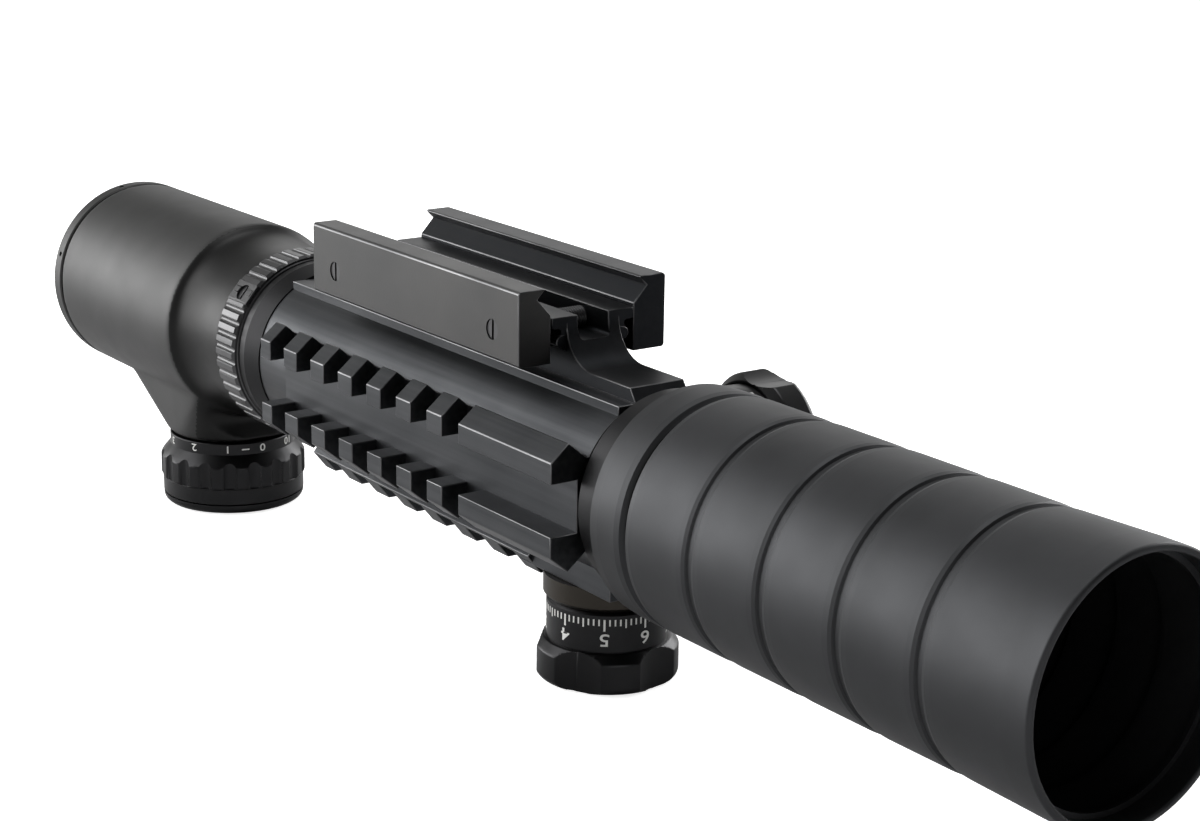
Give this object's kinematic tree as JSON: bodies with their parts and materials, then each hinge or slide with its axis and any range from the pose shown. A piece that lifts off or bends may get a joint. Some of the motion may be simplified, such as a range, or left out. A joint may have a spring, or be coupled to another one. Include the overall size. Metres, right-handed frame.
{
  "type": "finder scope",
  "caption": "Compact variable-power optical sight with three accessory rails, a rail clamp, adjusting turrets, an illumination turret and a grooved sunshade.",
  "frame": {"origin": "on the optical axis at the rear rim of the eyepiece", "axes": "+X along the optical axis from the eyepiece to the sunshade, +Z from the turret side towards the rail clamp, +Y towards the windage turret. The sight lies inverted, clamp up, as in the reference; turned 180 degrees about X it is upright."},
  "size_m": [0.2984, 0.0569, 0.071],
  "materials": {
    "body_black": "satin black anodised",
    "clamp_black": "milled, satin black anodised",
    "collar_black": "dull black anodised",
    "shade_grey": "bead-blasted dark grey anodised",
    "eyepiece_black": "satin black anodised",
    "ring_black": "satin black anodised, ridged",
    "knob_black": "smooth black anodised",
    "turret_bronze": "brownish grey anodised",
    "screw_steel": "blackened steel",
    "bright_steel": "polished steel",
    "brass": "turned brass",
    "inner_alloy": "matt grey",
    "matt_black": "matt black inside finish",
    "coated_glass": "coated optical glass",
    "seal_rubber": "nitrile rubber",
    "board_green": "circuit board",
    "lamp_red": "moulded lamp holder"
  },
  "bodies": {
    "sight": {"main_body": "body_black", "clamp_base": "clamp_black", "far_jaw": "clamp_black", "base_screw_1": "screw_steel", "base_screw_2": "screw_steel", "base_screw_3": "screw_steel", "objective_cell": "collar_black", "bell_ring": "shade_grey", "objective_flint": "coated_glass", "objective_crown": "coated_glass", "objective_retainer": "matt_black", "rear_collar": "collar_black", "reticle_cell": "matt_black", "reticle_glass": "coated_glass", "bias_spring": "bright_steel", "elevation_base": "turret_bronze", "elevation_click": "bright_steel", "elevation_bush": "bright_steel", "windage_base": "turret_bronze", "windage_click": "bright_steel", "windage_bush": "bright_steel", "eyepiece_housing": "eyepiece_black", "circuit_board": "board_green", "lamp_holder": "lamp_red"},
    "near_jaw": {"near_jaw": "clamp_black"},
    "front_screw": {"cross_screw_front": "screw_steel"},
    "rear_screw": {"cross_screw_rear": "screw_steel"},
    "shade_seal": {"shade_seal": "seal_rubber"},
    "sunshade": {"sunshade": "shade_grey"},
    "zoom_ring": {"zoom_ring": "ring_black", "zoom_pin": "screw_steel"},
    "gimbal": {"gimbal_ring": "brass"},
    "inner_tube": {"inner_tube": "inner_alloy"},
    "cam_tube": {"cam_tube": "brass"},
    "front_cell": {"front_cell": "matt_black", "front_cell_lens": "coated_glass", "front_cell_pin": "brass"},
    "rear_cell": {"rear_cell": "matt_black", "rear_cell_lens": "coated_glass", "rear_cell_pin": "brass"},
    "elevation_knob": {"elevation_dial": "knob_black", "elevation_grip": "knob_black", "elevation_cap_screw": "screw_steel"},
    "elevation_screw": {"elevation_spindle": "bright_steel"},
    "windage_knob": {"windage_dial": "knob_black", "windage_grip": "knob_black", "windage_cap_screw": "screw_steel"},
    "windage_screw": {"windage_spindle": "bright_steel"},
    "focus_ring": {"focus_ring": "eyepiece_black"},
    "ocular": {"ocular_cell": "matt_black", "eye_lens": "coated_glass", "field_lens": "coated_glass", "ocular_retainer": "matt_black"},
    "lamp_knob": {"lamp_knob": "knob_black", "contact_spring": "brass"},
    "battery": {"battery": "bright_steel"},
    "battery_cap": {"battery_cap": "knob_black"}
  },
  "joints": [
    {"name": "jaw_open", "type": "slide", "parent": "sight", "child": "near_jaw", "axis": [0, -1, 0], "range_m": [0, 0.0024]},
    {"name": "front_screw_turn", "type": "hinge", "parent": "sight", "child": "front_screw", "pos_m": [0.16755, 0, 0.0229], "axis": [0, 1, 0], "range_deg": [0, 1080]},
    {"name": "rear_screw_turn", "type": "hinge", "parent": "sight", "child": "rear_screw", "pos_m": [0.11535, 0, 0.0229], "axis": [0, 1, 0], "range_deg": [0, 1080]},
    {"name": "zoom_turn", "type": "hinge", "parent": "sight", "child": "zoom_ring", "pos_m": [0.07745, 0, 0], "axis": [-1, 0, 0], "range_deg": [0, 150]},
    {"name": "windage_tilt", "type": "hinge", "parent": "sight", "child": "gimbal", "pos_m": [0.10075, 0, 0], "axis": [0, 0, -1], "range_deg": [-0.5, 0.5]},
    {"name": "elevation_tilt", "type": "hinge", "parent": "gimbal", "child": "inner_tube", "pos_m": [0.10075, 0, 0], "axis": [0, -1, 0], "range_deg": [-0.5, 0.5]},
    {"name": "cam_turn", "type": "hinge", "parent": "inner_tube", "child": "cam_tube", "pos_m": [0.10075, 0, 0], "axis": [-1, 0, 0], "range_deg": [0, 150]},
    {"name": "front_cell_slide", "type": "slide", "parent": "inner_tube", "child": "front_cell", "axis": [1, 0, 0], "range_m": [0, 0.009]},
    {"name": "rear_cell_slide", "type": "slide", "parent": "inner_tube", "child": "rear_cell", "axis": [1, 0, 0], "range_m": [0, 0.0054]},
    {"name": "elevation_turn", "type": "hinge", "parent": "sight", "child": "elevation_knob", "pos_m": [0.18075, 0, -0.025], "axis": [0, 0, -1], "range_deg": [-360, 360]},
    {"name": "elevation_feed", "type": "slide", "parent": "sight", "child": "elevation_screw", "axis": [0, 0, 1], "range_m": [-0.0005, 0.0005]},
    {"name": "windage_turn", "type": "hinge", "parent": "sight", "child": "windage_knob", "pos_m": [0.18075, 0.025, 0], "axis": [0, 1, 0], "range_deg": [-360, 360]},
    {"name": "windage_feed", "type": "slide", "parent": "sight", "child": "windage_screw", "axis": [0, -1, 0], "range_m": [-0.0005, 0.0005]},
    {"name": "ocular_slide", "type": "slide", "parent": "sight", "child": "ocular", "axis": [1, 0, 0], "range_m": [-0.0015, 0.0015]},
    {"name": "focus_turn", "type": "hinge", "parent": "sight", "child": "focus_ring", "pos_m": [0.0017, 0, 0], "axis": [1, 0, 0], "range_deg": [-180, 180]},
    {"name": "lamp_turn", "type": "hinge", "parent": "sight", "child": "lamp_knob", "pos_m": [0.044, 0, -0.03], "axis": [0, 0, -1], "range_deg": [-150, 150]},
    {"name": "cap_lift", "type": "slide", "parent": "lamp_knob", "child": "battery", "axis": [0, 0, -1], "range_m": [0, 0.0015]},
    {"name": "cap_turn", "type": "hinge", "parent": "battery", "child": "battery_cap", "pos_m": [0.044, 0, -0.039], "axis": [0, 0, 1], "range_deg": [0, 720]},
    {"name": "shade_feed", "type": "slide", "parent": "sight", "child": "shade_seal", "axis": [1, 0, 0], "range_m": [0, 0.006]},
    {"name": "shade_turn", "type": "hinge", "parent": "shade_seal", "child": "sunshade", "pos_m": [0.25, 0, 0], "axis": [-1, 0, 0], "range_deg": [0, 2160]}
  ],
  "couplings": [
    {"joint": "front_screw_turn", "follows": "jaw_open", "rad_per_m": 7854},
    {"joint": "rear_screw_turn", "follows": "jaw_open", "rad_per_m": 7854},
    {"joint": "cam_turn", "follows": "zoom_turn", "ratio": 1},
    {"joint": "front_cell_slide", "follows": "zoom_turn", "m_per_rad": 0.0034377},
    {"joint": "rear_cell_slide", "follows": "zoom_turn", "m_per_rad": 0.0020626},
    {"joint": "elevation_feed", "follows": "elevation_turn", "m_per_rad": 0.000079577},
    {"joint": "elevation_tilt", "follows": "elevation_turn", "ratio": 0.00099472},
    {"joint": "windage_feed", "follows": "windage_turn", "m_per_rad": 0.000079577},
    {"joint": "windage_tilt", "follows": "windage_turn", "ratio": 0.00099472},
    {"joint": "focus_turn", "follows": "ocular_slide", "rad_per_m": 2094.4},
    {"joint": "cap_turn", "follows": "cap_lift", "rad_per_m": 8377.6},
    {"joint": "shade_turn", "follows": "shade_feed", "rad_per_m": 6283.2}
  ]
}
